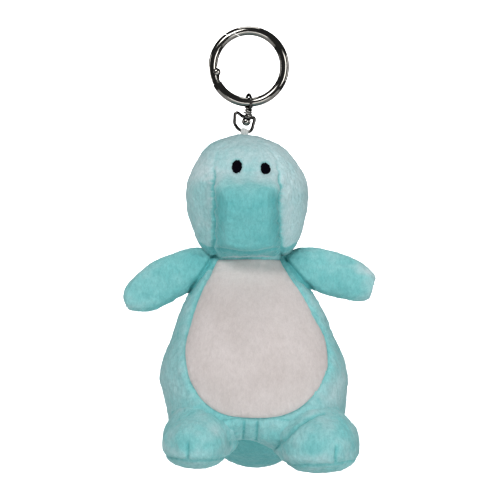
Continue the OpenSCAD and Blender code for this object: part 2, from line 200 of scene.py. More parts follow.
def dense(lo, hi, n, spots, period=None):
    """n samples from lo to hi, closer together near each spot (centre, width, weight)."""
    x = np.linspace(lo, hi, 4000, endpoint=period is None)
    w = np.ones_like(x)
    for c, s, k in spots:
        d = x - c
        if period:
            d = (d + period / 2) % period - period / 2
        w += k * np.exp(-(d / s) ** 2)
    cum = np.concatenate([[0], np.cumsum((w[1:] + w[:-1]) / 2)])
    if period:
        cum = np.append(cum, cum[-1] + (w[-1] + w[0]) / 2)
        x = np.append(x, hi)
        return np.interp(np.linspace(0, cum[-1], n, endpoint=False), cum, x)
    return np.interp(np.linspace(0, cum[-1], n), cum, x)


def spow(c, n):
    return np.sign(c) * np.abs(c) ** n


def pile(P, N, amp=0.11, seed=1):
    """Short brushed pile: clumps of fibre tips stand a little proud of the cloth."""
    q = P * np.array([1.0, 1.0, 0.72])
    tip = vnoise(q, 0.62, seed + 7)
    n = 0.50 * vnoise(q, 0.95, seed) + 0.75 * np.abs(tip) ** 1.5 * np.sign(tip) + 0.40 * vnoise(q, 1.9, seed + 13)
    return P + N * (amp * n)[..., None]


def wrinkle(P, N, amp, size, seed, squash=(1, 1, 1)):
    return P + N * (amp * vnoise(P * np.array(squash), size, seed))[..., None]


# ---------------------------------------------------------------- materials
def nodes_of(mat):
    mat.use_nodes = True
    nt = mat.node_tree
    nt.nodes.clear()
    out = nt.nodes.new("ShaderNodeOutputMaterial")
    b = nt.nodes.new("ShaderNodeBsdfPrincipled")
    nt.links.new(b.outputs["BSDF"], out.inputs["Surface"])
    return nt, b


def noise_node(nt, vec, scale, detail=3.0, rough=0.55, stretch=None):
    if stretch is not None:
        mp = nt.nodes.new("ShaderNodeMapping")
        mp.inputs["Scale"].default_value = stretch
        nt.links.new(vec, mp.inputs["Vector"])
        vec = mp.outputs["Vector"]
    n = nt.nodes.new("ShaderNodeTexNoise")
    n.inputs["Scale"].default_value = scale
    n.inputs["Detail"].default_value = detail
    n.inputs["Roughness"].default_value = rough
    nt.links.new(vec, n.inputs["Vector"])
    return n


def ramp(nt, fac, stops):
    r = nt.nodes.new("ShaderNodeValToRGB")
    cr = r.color_ramp
    while len(cr.elements) < len(stops):
        cr.elements.new(0.5)
    for e, (p, c) in zip(cr.elements, stops):
        e.position = p
        e.color = (*c, 1) if len(c) == 3 else c
    nt.links.new(fac, r.inputs["Fac"])
    return r


def mixc(nt, kind, fac, a, b):
    m = nt.nodes.new("ShaderNodeMix")
    m.data_type = "RGBA"
    m.blend_type = kind
    if isinstance(fac, float):
        m.inputs["Factor"].default_value = fac
    else:
        nt.links.new(fac, m.inputs["Factor"])
    for s, v in (("A", a), ("B", b)):
        sock = [i for i in m.inputs if i.name == s and i.type == "RGBA"][0]
        if isinstance(v, tuple):
            sock.default_value = (*v, 1)
        else:
            nt.links.new(v, sock)
    return [o for o in m.outputs if o.type == "RGBA"][0]


def srgb(r, g, b):
    f = lambda c: (c / 255 / 12.92) if c / 255 <= 0.04045 else ((c / 255 + 0.055) / 1.055) ** 2.4
    return (f(r), f(g), f(b))


def plush(name, deep, mid, pale, sheen_tint, sheen=0.35, tone=True, mottle=1.0):
    """Short pile fabric: brushed patches, fibre clumps, painted shade in the gaps between them, and a pale sheen."""
    m = bpy.data.materials.new(name)
    nt, b = nodes_of(m)
    tc = nt.nodes.new("ShaderNodeTexCoord").outputs["Object"]
    big = noise_node(nt, tc, 95, 4, 0.6)
    clump = noise_node(nt, tc, 900, 3, 0.6, (1, 1, 0.6))
    fine = noise_node(nt, tc, 3200, 2, 0.6, (1, 1, 0.45))
    col = ramp(nt, big.outputs["Fac"], [(0.30, mid), (0.72, pale)])
    # painted shade: the colour darkens where the clump and fine fibre bumps are low, in the gaps of the pile
    dark = ramp(nt, clump.outputs["Fac"], [(0.30, deep), (0.62, (1, 1, 1))])
    c = mixc(nt, "MULTIPLY", 0.55 * mottle, col.outputs["Color"], dark.outputs["Color"])
    fr = ramp(nt, fine.outputs["Fac"], [(0.35, (0.80, 0.80, 0.80)), (0.65, (1.0, 1.0, 1.0))])
    c = mixc(nt, "MULTIPLY", 0.6 * mottle, c, fr.outputs["Color"])
    if tone:
        at = nt.nodes.new("ShaderNodeAttribute")
        at.attribute_name = "tone"
        # tone above a half is painted paler, as sheen, and below a half painted deeper, as shade; it also carries the
        # cloth's own mottling
        tr = ramp(nt, at.outputs["Fac"], [(0.0, tone[0]), (0.5, tone[1]), (1.0, tone[2])])
        c = mixc(nt, "MULTIPLY", 1.0, c, tr.outputs["Color"])
    nt.links.new(c, b.inputs["Base Color"])
    rg = ramp(nt, clump.outputs["Fac"], [(0.2, (0.98, 0.98, 0.98)), (0.8, (0.80, 0.80, 0.80))])
    nt.links.new(rg.outputs["Color"], b.inputs["Roughness"])
    b.inputs["Sheen Weight"].default_value = sheen
    b.inputs["Sheen Roughness"].default_value = 0.38
    b.inputs["Sheen Tint"].default_value = (*sheen_tint, 1)
    b.inputs["Specular IOR Level"].default_value = 0.15
    b1 = nt.nodes.new("ShaderNodeBump")
    b1.inputs["Strength"].default_value = 0.45
    b1.inputs["Distance"].default_value = 0.00035
    nt.links.new(clump.outputs["Fac"], b1.inputs["Height"])
    b2 = nt.nodes.new("ShaderNodeBump")
    b2.inputs["Strength"].default_value = 0.6
    b2.inputs["Distance"].default_value = 0.00016
    nt.links.new(fine.outputs["Fac"], b2.inputs["Height"])
    nt.links.new(b1.outputs["Normal"], b2.inputs["Normal"])
    nt.links.new(b2.outputs["Normal"], b.inputs["Normal"])
    return m


def thread(name, dark, light, scale, angle=(0, 0, 0), sheen=0.15):
    """Twisted thread: fine parallel strands with a slight lustre."""
    m = bpy.data.materials.new(name)
    nt, b = nodes_of(m)
    tc = nt.nodes.new("ShaderNodeTexCoord").outputs["Object"]
    mp = nt.nodes.new("ShaderNodeMapping")
    mp.inputs["Rotation"].default_value = angle
    nt.links.new(tc, mp.inputs["Vector"])
    w = nt.nodes.new("ShaderNodeTexWave")
    w.inputs["Scale"].default_value = scale
    w.inputs["Distortion"].default_value = 2.0
    w.inputs["Detail"].default_value = 2.0
    w.inputs["Detail Scale"].default_value = 3.0
    nt.links.new(mp.outputs["Vector"], w.inputs["Vector"])
    c = ramp(nt, w.outputs["Fac"], [(0.2, dark), (0.9, light)])
    nt.links.new(c.outputs["Color"], b.inputs["Base Color"])
    n = noise_node(nt, tc, 2500, 2)
    r = ramp(nt, n.outputs["Fac"], [(0.3, (0.45,) * 3), (0.7, (0.7,) * 3)])
    nt.links.new(r.outputs["Color"], b.inputs["Roughness"])
    b.inputs["Sheen Weight"].default_value = sheen
    b.inputs["Specular IOR Level"].default_value = 0.5 if sheen > 0.1 else 0.02
    bp = nt.nodes.new("ShaderNodeBump")
    bp.inputs["Strength"].default_value = 0.6
    bp.inputs["Distance"].default_value = 0.00012
    nt.links.new(w.outputs["Fac"], bp.inputs["Height"])
    nt.links.new(bp.outputs["Normal"], b.inputs["Normal"])
    return m


def nickel(name, base, low, high, edge):
    """Plated wire: polished, with faint draw marks, handling scratches and dulled patches."""
    m = bpy.data.materials.new(name)
    nt, b = nodes_of(m)
    tc = nt.nodes.new("ShaderNodeTexCoord").outputs["Object"]
    patch = noise_node(nt, tc, 260, 4, 0.6)
    scratch = noise_node(nt, tc, 1800, 3, 0.7, (1, 1, 0.15))
    c = ramp(nt, patch.outputs["Fac"], [(0.3, tuple(x * 0.86 for x in base)), (0.7, base)])
    nt.links.new(c.outputs["Color"], b.inputs["Base Color"])
    r = ramp(nt, patch.outputs["Fac"], [(0.35, (low,) * 3), (0.75, (high,) * 3)])
    nt.links.new(r.outputs["Color"], b.inputs["Roughness"])
    b.inputs["Metallic"].default_value = 1.0
    b.inputs["Specular Tint"].default_value = (edge, edge, edge, 1)
    bp = nt.nodes.new("ShaderNodeBump")
    bp.inputs["Strength"].default_value = 0.12
    bp.inputs["Distance"].default_value = 0.00004
    nt.links.new(scratch.outputs["Fac"], bp.inputs["Height"])
    nt.links.new(bp.outputs["Normal"], b.inputs["Normal"])
    return m


TEAL_TONE = ((0.50, 0.78, 0.79), (1, 1, 1), (2.05, 1.16, 1.18))
teal = plush("teal_plush", (0.56, 0.72, 0.73), srgb(138, 214, 215), srgb(156, 222, 223), srgb(214, 226, 228), 0.55, TEAL_TONE)
white = plush("belly_plush", (0.74, 0.72, 0.71), srgb(219, 210, 207), srgb(230, 222, 220), (1, 0.98, 0.97), 0.15, ((0.8, 0.8, 0.8), (1, 1, 1), (1.1, 1.1, 1.1)), mottle=0.55)
black = thread("eye_thread", (0.001, 0.0008, 0.002), (0.004, 0.003, 0.008), 900, (0, math.radians(90), 0), 0.0)
seam = thread("seam_thread", srgb(52, 120, 124), srgb(84, 156, 160), 700)
white_thread = thread("loop_thread", srgb(205, 208, 206), srgb(240, 241, 238), 600)
metal = nickel("nickel", (0.31, 0.297, 0.275), 0.06, 0.15, 0.30)
# darker copies of the nickel: painted shade, their dark base colour stands in for the dark surroundings the wire
# reflects
metal_wire = nickel("nickel_wire", (0.20, 0.19, 0.176), 0.08, 0.18, 0.10)
metal_dark = nickel("nickel_dark", (0.10, 0.098, 0.092), 0.08, 0.18, 0.06)


def paint(ob, mat):
    ob.data.materials.clear()
    ob.data.materials.append(mat)


def set_tone(ob, values):
    at = ob.data.attributes.new("tone", "FLOAT", "POINT")
    v = np.full(len(ob.data.vertices), 0.5, np.float32)
    values = np.asarray(values, np.float32).ravel()
    v[: len(values)] = values
    if len(v) > len(values):
        v[len(values):] = [values[0], values[-1]][: len(v) - len(values)] if len(v) - len(values) == 2 else 0.5
    at.data.foreach_set("value", v)


def finish_piece(ob, mat, body, nodes):
    paint(ob, mat)
    if body:
        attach(ob, body)
    if nodes:
        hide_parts(*nodes)
    return ob


# ---------------------------------------------------------------- head
def head_surface(u, z):
    """The stuffed head before its pile: u in degrees (270 is the face), z in millimetres."""
    cu, su = np.cos(np.radians(u)), np.sin(np.radians(u))
    a = head_w(z)
    d = np.where(su < 0, head_f(z), head_b(z))
    x = a * spow(cu, 0.88)
    y = d * spow(su, 0.88)
    k = smooth((13.2 - np.abs(x)) / 7.2)
    top = smooth((-33.6 - z + 0.012 * x * x) / 8.0)
    low = smooth((z + 62.4 - 0.018 * x * x) / 5.2)
    bump = np.where(su < 0, MUZZLE * k * top * low, 0)
    return np.stack([head_x(z) + x, y - bump, z + 0 * x], -1)


def make_head():
    nu, nv = ((470, 400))
    u = dense(0, 360, nu, [(222, 9, 2.2), (318, 9, 2.2), (270, 40, 0.5)], 360)
    t = dense(0.0, 1.0, nv, [(0.93, 0.05, 0.6)])
    z = -21.6 - 39.6 * (1 - np.cos(np.pi * t)) / 2
    U, Z = np.meshgrid(u, z)
    P = head_surface(U, Z)
    N = grid_normals(P, True)
    front = np.sin(np.radians(U)) < 0.1
    xr = P[..., 0] - head_x(Z)
    # vertical seams either side of the muzzle and forehead
    sx = pchip([(-61.2, 10.6), (-56, 10.9), (-48, 10.5), (-38, 10.6), (-33, 10.3), (-28, 8.8), (-24, 5.0), (-21.6, 0.5)])(Z)
    depth = pchip([(-61.2, 0.5), (-56, 0.8), (-44, 0.85), (-36, 0.6), (-31, 0.25), (-26, 0.15), (-21.6, 0.05)])(Z)
    jag = 0.42 * vnoise(P * np.array([0.3, 0.3, 1.0]), 1.5, 77) + 0.20 * vnoise(P * np.array([0.3, 0.3, 1.0]), 0.7, 78)
    for s in (-1, 1):
        d = (xr - s * (sx + jag))
        g = np.exp(-(d / 0.62) ** 2) - 0.35 * np.exp(-((np.abs(d) - 1.9) / 1.3) ** 2)
        P = P - N * np.where(front, depth * g, 0)[..., None]
    # side seam from crown to neck behind the cheeks
    du = np.minimum(np.abs((U - 8) % 360), 360 - np.abs((U - 8) % 360))
    for c in (4, 176):
        d = ((U - c + 180) % 360 - 180) * np.pi / 180 * np.maximum(head_w(Z), 3)
        P = P - N * (0.45 * np.exp(-(d / 0.6) ** 2) - 0.12 * np.exp(-((np.abs(d) - 1.8) / 1.2) ** 2))[..., None]
    # centre back seam
    d = ((U - 90 + 180) % 360 - 180) * np.pi / 180 * np.maximum(head_w(Z), 3)
    P = P - N * (0.4 * np.exp(-(d / 0.6) ** 2))[..., None]
    # mouth: a curved fold near the bottom of the muzzle
    zm = -59.4 + 1.35 * (xr / 9.2) ** 2
    m = np.exp(-((Z - zm) / 0.38) ** 2) - 0.5 * np.exp(-((Z - zm - 1.3) / 0.8) ** 2)
    mk = smooth((10.2 - np.abs(xr)) / 1.6)
    P = P - N * np.where(front, 0.75 * m * mk, 0)[..., None]
    # soft unevenness of the filling
    P = wrinkle(P, N, 0.28, 9.0, 11)
    P = wrinkle(P, N, 0.16, 4.0, 12)
    # puckers along the muzzle seams
    for s in (-1, 1):
        dd = np.abs(xr - s * sx)
        P = P + N * (np.where(front, 0.16 * np.exp(-(dd / 2.2) ** 2) * vnoise(P * np.array([0.5, 0.5, 1.6]), 2.2, 17), 0))[..., None]
    # the plush dips round each embroidered eye
    for ex, ez in EYES:
        rr = np.sqrt(((P[..., 0] - ex) / 1.9) ** 2 + ((P[..., 2] - ez) / 2.35) ** 2)
        P = P - N * np.where(front, 0.42 * np.exp(-(rr / 0.95) ** 6), 0)[..., None]
        P = P + N * np.where(front, 0.12 * np.exp(-((rr - 1.25) / 0.25) ** 2), 0)[..., None]
    P2 = pile(P, N, 0.19, 21)
    N2 = grid_normals(P, True)
    ob = grid_object("head_plush", P2)
    # painted sheen and shade: the forehead, cheeks and upward faces are painted pale, the front of the muzzle painted
    # deep
    up = smooth((N2[..., 2] + 0.05) / 0.6)
    face = np.where(front, smooth((11.0 + np.where(xr < 0, 2.2, 1.2) * smooth((-39 - Z) / 9) - np.abs(xr) + 0.7 * vnoise(P, 3.2, 34)) / 2.6) * smooth((sx + 1.2 - np.abs(xr)) / 1.8), 0)
    muz = face * smooth((-32.9 - Z - 0.040 * xr * xr + 1.3 * vnoise(P, 3.4, 33)) / 7.5) * smooth((Z + 63.0) / 3)
    cheek = np.where(front, 1, 0.85) * (1 - face) * smooth((-24 - Z) / 10)
    tone = 0.62 + 0.34 * up + 0.22 * cheek
    tone = tone * (1 - muz) + muz * (0.42 - 0.28 * smooth((-37 - Z) / 8) + 0.07 * smooth((-49 - Z) / 6))
    # painted shade: the muzzle's side walls are darkened against their sheen
    tone = tone - 0.20 * muz * np.exp(-((np.abs(xr) - 9.0) / 1.5) ** 2)
    # painted shade: the chin strip is painted deep against its sheen
    chin = np.where(front, smooth((-59.6 - Z + 1.35 * (xr / 9.2) ** 2) / 0.8), 0)
    tone = tone * (1 - chin) + 0.10 * chin
    # painted light: a pale line along the underside of the chin, and the right side painted paler than the left
    tone = tone + np.where(front, 0.9 * smooth((-60.3 - Z) / 0.5), 0) + 0.10 * np.clip(xr / 13, -1, 1) * (1 - muz)
    tone = tone + 0.10 * vnoise(P, 5.5, 31) + 0.05 * vnoise(P, 2.2, 32)
    # painted shade in the seam grooves and the mouth fold
    groove = np.zeros_like(tone)
    for s in (-1, 1):
        groove += np.where(front, smooth(depth / 0.7) * np.exp(-((xr - s * (sx + jag)) / 0.5) ** 2) * (1.15 + 0.5 * vnoise(P, 2.4, 79)), 0)
    groove += np.where(front, np.exp(-((Z - zm) / 0.42) ** 2) * mk, 0)
    tone = tone - 0.50 * np.clip(groove, 0, 1.3)
    set_tone(ob, np.clip(tone, 0, 1))
    return ob


EYES = [(-3.75, -32.3), (5.4, -33.1)]
head = make_head()
finish_piece(head, teal, "head",
             ["head_gusset", "head_side_left", "head_side_right", "head_back", "chin", "head_filling", "mouth_stitch"])


def surface_point(x, z):
    """The front of the head at x, z, and its outward normal."""
    us = np.linspace(181, 359, 1800)
    P = head_surface(us, np.full_like(us, z))
    i = int(np.argmin(np.abs(P[:, 0] - x)))
    p = P[i]
    q = head_surface(np.array([us[i]]), np.array([z - 0.3]))[0]
    r = head_surface(np.array([us[i] + 0.8]), np.array([z]))[0]
    n = np.cross(r - p, q - p)
    n /= np.linalg.norm(n)
    if n[1] > 0:
        n = -n
    return p, n


def make_eye(name, ex, ez, tilt):
    """A satin-stitched oval: a low dome of parallel threads."""
    p, n = surface_point(ex, ez)
    n = Vector(n)
    up = Vector((math.sin(math.radians(tilt)), 0, math.cos(math.radians(tilt))))
    e1 = up.cross(n).normalized()
    e2 = n.cross(e1).normalized()
    rows, cols = ((26, 96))
    r = np.linspace(1.0, 0.02, rows)
    a = np.linspace(0, 2 * np.pi, cols, endpoint=False)
    R, A = np.meshgrid(r, a, indexing="ij")
    wob = 1 + 0.035 * np.cos(9 * A + 1.3) + 0.03 * np.cos(14 * A)
    X, Y = 1.62 * R * wob * np.cos(A), 2.25 * R * wob * np.sin(A)
    H = 0.62 * np.sqrt(np.clip(1 - R ** 2.6, 0, 1)) + 0.04 * np.cos(Y * 2 * np.pi / 0.34) * (R < 0.97) - 0.22
    base = np.array(p)
    P = base + X[..., None] * np.array(e1) + Y[..., None] * np.array(e2) + (H + 0.02)[..., None] * np.array(n)
    # follow the curve of the head
    P[..., 1] += 0.5 * (X ** 2) / 17.0
    ob = grid_object(name, P, True, True)
    return ob


eye_l = make_eye("eye_left_stitch", *EYES[0], 4)
finish_piece(eye_l, black, "head", ["eye_left"])
eye_r = make_eye("eye_right_stitch", *EYES[1], -6)
finish_piece(eye_r, black, "head", ["eye_right"])


# ---------------------------------------------------------------- body
def body_surface(u, z):
    cu, su = np.cos(np.radians(u)), np.sin(np.radians(u))
    x = body_x(z) + body_w(z) * cu
    # the bottom edge slopes down to the right
    return np.stack([x, np.where(su < 0, body_front(z), body_h(z)) * su, z - 0.19 * np.clip(x - 2, -9, 9) * smooth((-111 - z) / 7)], -1)


def belly_inside(P):
    """Signed distance-like value: above 0 inside the belly panel's outline, in millimetres."""
    x, z = P[..., 0], P[..., 2]
    l, r = belly_l(z), belly_r(z)
    d = np.minimum(x - l, r - x)
    # convert the horizontal distance to one across the outline
    sl = np.abs(np.gradient(belly_l(np.linspace(-111.7, -61.7, 200)), (111.7 - 61.7) / 199))
    zz = np.linspace(-111.7, -61.7, 200)
    sr = np.abs(np.gradient(belly_r(zz), (111.7 - 61.7) / 199))
    slope = np.where(x - l < r - x, np.interp(z, zz, sl), np.interp(z, zz, sr))
    d = d / np.sqrt(1 + slope ** 2)
    d = np.where(z > -61.7, -(z + 61.7), np.minimum(d, -61.7 - z))
    return np.where(z < -111.6, z + 111.6, d)


FEET = {"left": dict(c=(-16.7, -12.0, -118.8), s=(10.9, 18.0), up=9.6, down=9.0, toe=-2.4, seed=201),
        "right": dict(c=(22.5, -12.5, -120.0), s=(12.9, 18.6), up=10.6, down=9.3, toe=4.7, seed=231)}
LEG_SEAM = [((x - 248.7) * 0.32, (66.5 - y) * 0.32) for x, y in ((276.5, 445), (281, 440), (290, 430), (300, 420.5), (307, 415.5), (314, 412.5), (322, 410.8))]


def fillet(d, k):
    """How far a surface swells where another one runs into it, d millimetres away."""
    return k / 4 * np.clip(1 - np.abs(d) / k, 0, 1) ** 2


def leg_distance(f, P):
    c, s = f["c"], f["s"]
    r = np.where(P[..., 2] > c[2], f["up"], f["down"])
    q = np.stack([(P[..., 0] - c[0]) / s[0], (P[..., 1] - c[1]) / s[1], (P[..., 2] - c[2]) / r], -1)
    m = np.linalg.norm(q, axis=-1)
    g = np.linalg.norm(q / np.stack([s[0] + 0 * r, s[1] + 0 * r, r], -1), axis=-1)
    return m * (m - 1) / np.maximum(g, 1e-6)


def trunk_distance(P):
    z = np.clip(P[..., 2], -119, -58)
    w = body_w(z)
    h = np.where(P[..., 1] < 0, body_front(z), body_h(z))
    q = np.stack([(P[..., 0] - body_x(z)) / w, P[..., 1] / h], -1)
    m = np.linalg.norm(q, axis=-1)
    g = np.linalg.norm(q / np.stack([w, h], -1), axis=-1)
    return m * (m - 1) / np.maximum(g, 1e-6)


ARM_CREASE = [[((x - 248.7) * 0.32, (66.5 - y) * 0.32) for x, y in line] for line in (
    ((213, 254), (209.5, 262), (204, 270.5), (198, 279), (192.5, 287.5), (191, 292)),
    ((284, 255), (288, 262.5), (294.5, 270.5), (302, 279.5), (309.5, 287.5), (312, 291)))]


def line_distance(line, P, y_max):
    """Distance in the front view to a line, for points in front of y_max."""
    best = np.full(P.shape[:-1], 99.0)
    for (x0, z0), (x1, z1) in zip(line[:-1], line[1:]):
        dx, dz = x1 - x0, z1 - z0
        t = np.clip(((P[..., 0] - x0) * dx + (P[..., 2] - z0) * dz) / (dx * dx + dz * dz), 0, 1)
        best = np.minimum(best, np.hypot(P[..., 0] - x0 - t * dx, P[..., 2] - z0 - t * dz))
    return np.where(P[..., 1] < y_max, best, 99.0)


def leg_seam(P):
    """The seam that runs up from the crotch over the right leg."""
    return line_distance(LEG_SEAM, P, -8)


def arm_crease(P):
    """The creases where the arms leave the body."""
    return np.minimum(line_distance(ARM_CREASE[0], P, -1), line_distance(ARM_CREASE[1], P, -1))


def torso_folds(P, N, U):
    front = np.sin(np.radians(U)) < 0
    x, z = P[..., 0], P[..., 2]
    # folds gathered at the crotch
    for cx, k in ((-1.6, 0.75), (2.6, 0.85), (6.0, 0.3), (-4.8, 0.3)):
        g = np.exp(-((x - cx - 0.06 * (z + 115)) / 0.55) ** 2) * smooth((-111.8 - z) / 1.3) * smooth((z + 119.4) / 1.6)
        P = P - N * np.where(front, k * g, 0)[..., None]
    for cx, k in ((0.5, 0.5), (4.4, 0.4), (-3.4, 0.35)):
        g = np.exp(-((x - cx) / 1.1) ** 2) * smooth((-112.4 - z) / 1.5) * smooth((z + 119.4) / 1.6)
        P = P + N * np.where(front, k * g, 0)[..., None]
    P = P - N * (0.55 * np.exp(-(leg_seam(P) / 0.5) ** 2) + 0.6 * np.exp(-(arm_crease(P) / 0.7) ** 2))[..., None]
    # centre back seam
    d = ((U - 90 + 180) % 360 - 180) * np.pi / 180 * 20
    P = P - N * (0.45 * np.exp(-(d / 0.6) ** 2))[..., None]
    P = wrinkle(P, N, 0.35, 11.0, 41)
    P = wrinkle(P, N, 0.18, 4.5, 42)
    return P


def make_torso():
    nu, nv = ((480, 400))
    u = dense(0, 360, nu, [(270, 60, 0.8)], 360)
    t = dense(0, 1, nv, [(0.9, 0.08, 0.5)])
    z = -57.5 - 62.4 * (1 - np.cos(np.pi * t)) / 2
    U, Z = np.meshgrid(u, z)
    P = body_surface(U, Z)
    N = grid_normals(P, True)
    front = np.sin(np.radians(U)) < 0
    d = np.where(front, belly_inside(P), -50)
    P = P + N * (fillet(leg_distance(FEET["left"], P), 8) + fillet(leg_distance(FEET["right"], P), 10))[..., None]
    N = grid_normals(P, True)
    # the seam round the belly pulls the cloth in, and the cloth beside it swells
    P = P - N * (0.47 * np.exp(-((d + 0.15) / 0.5) ** 2) - 0.30 * np.exp(-((d + 1.9) / 1.2) ** 2) + 0.8 * smooth((d - 0.2) / 0.6))[..., None]
    P = torso_folds(P, N, U)
    # puckers that run out from the belly seam
    ang = np.arctan2(P[..., 2] + 92, P[..., 0] - 2)
    P = P + N * (0.10 * np.exp(-((d + 1.6) / 1.6) ** 2) * np.cos(ang * 46 + 3 * vnoise(P, 6, 51)))[..., None]
    P2 = pile(P, N, 0.19, 61)
    ob = grid_object("body_plush", P2)
    N2 = grid_normals(P, True)
    # painted sheen: the sides and upward faces of the body are painted paler
    side = smooth((np.abs(N2[..., 0]) - 0.35) / 0.5)
    tone = 0.50 + 0.10 * side + 0.14 * smooth(N2[..., 2]) + 0.14 * vnoise(P, 7.0, 71) + 0.06 * vnoise(P, 2.6, 72)
    # painted light: paler patches on the hips and between the gathers, lifting the shade there
    tone += 0.24 * np.exp(-((np.abs(P[..., 0] - 2) - 27) / 5) ** 2 - ((P[..., 2] + 103) / 7) ** 2) + 0.12 * np.exp(-((P[..., 0] - 1) / 9) ** 2 - ((P[..., 2] + 116) / 3.5) ** 2)
    # painted shade along the belly seam, the leg seam and the arm creases
    tone -= 0.10 * np.exp(-((d + 0.1) / 0.5) ** 2) + 0.32 * np.exp(-(leg_seam(P) / 0.5) ** 2) + 0.45 * np.exp(-(arm_crease(P) / 0.8) ** 2)
    # painted shade in the crotch folds
    for cx in (-1.6, 2.6):
        tone -= np.where(front, 0.42 * np.exp(-((P[..., 0] - cx - 0.06 * (P[..., 2] + 115)) / 0.5) ** 2) * smooth((-111.9 - P[..., 2]) / 1.2), 0)
    set_tone(ob, np.clip(tone, 0, 1))
    return ob


torso = make_torso()
finish_piece(torso, teal, "torso", ["body_side_left", "body_side_right", "body_filling", "back_seam"])


def make_belly():
    nu, nv = ((220, 260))
    s = np.linspace(0, 1, nu)
    q = (1 - np.cos(np.pi * np.linspace(0, 1, nv))) / 2
    z = -61.7 - (111.55 - 61.7) * q
    S, Z = np.meshgrid(s, z)
    S2 = (1 - np.cos(np.pi * S)) / 2 * 0.35 + S * 0.65
    l, r = belly_l(Z), belly_r(Z)
    x = l + (r - l) * S2
    c = np.clip((x - body_x(Z)) / body_w(Z), -0.999, 0.999)
    U = 360 - np.degrees(np.arccos(c))
    P = body_surface(U, Z)
    N = grid_normals(P, False)
    N = np.where(N[..., 1:2] > 0, -N, N)
    d = np.maximum(belly_inside(P), 0)
    P = P + N * (fillet(leg_distance(FEET["left"], P), 8) + fillet(leg_distance(FEET["right"], P), 10))[..., None]
    rise = 0.55 * (1 - np.exp(-(d / 1.1))) - 0.18 * np.exp(-(d / 0.45) ** 2)
    P = P + N * rise[..., None]
    P = wrinkle(P, N, 0.22, 10.0, 81)
    ang = np.arctan2(P[..., 2] + 92, P[..., 0] - 2)
    P = P + N * (0.09 * np.exp(-((d - 1.6) / 1.6) ** 2) * np.cos(ang * 50 + 3 * vnoise(P, 6, 52)))[..., None]
    P2 = pile(P, N, 0.05, 91)
    ob = grid_object("belly_plush", P2, False, False)
    me = ob.data
    # make sure that the faces look outwards
    if sum(f.normal.y for f in list(me.polygons)[:: max(1, len(me.polygons) // 200)]) > 0:
        me.flip_normals()
    tone = 0.54 + 0.34 * smooth((P[..., 2] + 74) / 9) + 0.07 * vnoise(P, 8.0, 95) + 0.03 * vnoise(P, 3.0, 96) + 0.14 * np.exp(-(d / 0.7) ** 2)
    set_tone(ob, np.clip(tone, 0, 1))
    return ob


belly = make_belly()
finish_piece(belly, white, "torso", ["belly_panel"])


# ---------------------------------------------------------------- arms
def px(x, y):
    return ((x - 248.7) * 0.32, (66.5 - y) * 0.32)


def spline(points, n):
    """Centripetal Catmull-Rom through points, sampled evenly by length."""
    p = np.array(points, float)
    p = np.vstack([2 * p[0] - p[1], p, 2 * p[-1] - p[-2]])
    out = []
    for i in range(1, len(p) - 2):
        a, b, c, d = p[i - 1], p[i], p[i + 1], p[i + 2]
        t = [0.0]
        for q, w in ((a, b), (b, c), (c, d)):
            t.append(t[-1] + max(1e-6, np.linalg.norm(w - q) ** 0.5))
        for s in np.linspace(t[1], t[2], 24, endpoint=False):
            a1 = (t[1] - s) / (t[1] - t[0]) * a + (s - t[0]) / (t[1] - t[0]) * b
            a2 = (t[2] - s) / (t[2] - t[1]) * b + (s - t[1]) / (t[2] - t[1]) * c
            a3 = (t[3] - s) / (t[3] - t[2]) * c + (s - t[2]) / (t[3] - t[2]) * d
            b1 = (t[2] - s) / (t[2] - t[0]) * a1 + (s - t[0]) / (t[2] - t[0]) * a2
            b2 = (t[3] - s) / (t[3] - t[1]) * a2 + (s - t[1]) / (t[3] - t[1]) * a3
            out.append((t[2] - s) / (t[2] - t[1]) * b1 + (s - t[1]) / (t[2] - t[1]) * b2)
    out.append(p[-2])
    out = np.array(out)
    L = np.concatenate([[0], np.cumsum(np.linalg.norm(np.diff(out, axis=0), axis=1))])
    k = np.linspace(0, L[-1], n) if np.isscalar(n) else np.asarray(n) * L[-1]
    return np.stack([np.interp(k, L, out[:, j]) for j in range(out.shape[1])], -1)


# pale: how much paler each arm's tip is painted, as sheen
ARMS = {
    "left": dict(
        top=[px(*p) for p in ((226, 258), (211, 249.5), (191, 247.5), (170, 253.5), (156, 259.5), (147, 265.5), (139, 271.5), (133, 277.5), (128, 283.5), (124.2, 290), (123.2, 295.5), (124.2, 299.5), (125.6, 301.2))],
        low=[px(*p) for p in ((216, 292), (200, 296), (191.8, 292.5), (180, 296.5), (171, 302.3), (161, 307.8), (150, 311), (140.8, 311.6), (133, 311.2), (128.6, 309.6), (126.2, 306.6), (126.6, 303.4), (125.6, 301.2))],
        thick=5.4, seed=101, pale=0.10),
    "right": dict(
        top=[px(*p) for p in ((272, 262), (284.6, 255), (295.7, 250.0), (312.9, 247.6), (328, 250), (341.2, 254), (352, 257.7), (360, 261.5), (367, 266.5), (373, 272), (376.4, 276.6), (374.6, 280.0), (375.6, 284.6))],
        low=[px(*p) for p in ((284, 296), (298, 294), (311.8, 290.5), (321, 294), (332, 297.2), (344.3, 299.5), (352, 301), (359.6, 301.6), (366, 300.8), (370, 298.4), (372.0, 293.6), (372.4, 288.8), (375.6, 284.6))],
        thick=5.6, seed=131, pale=0.34)}


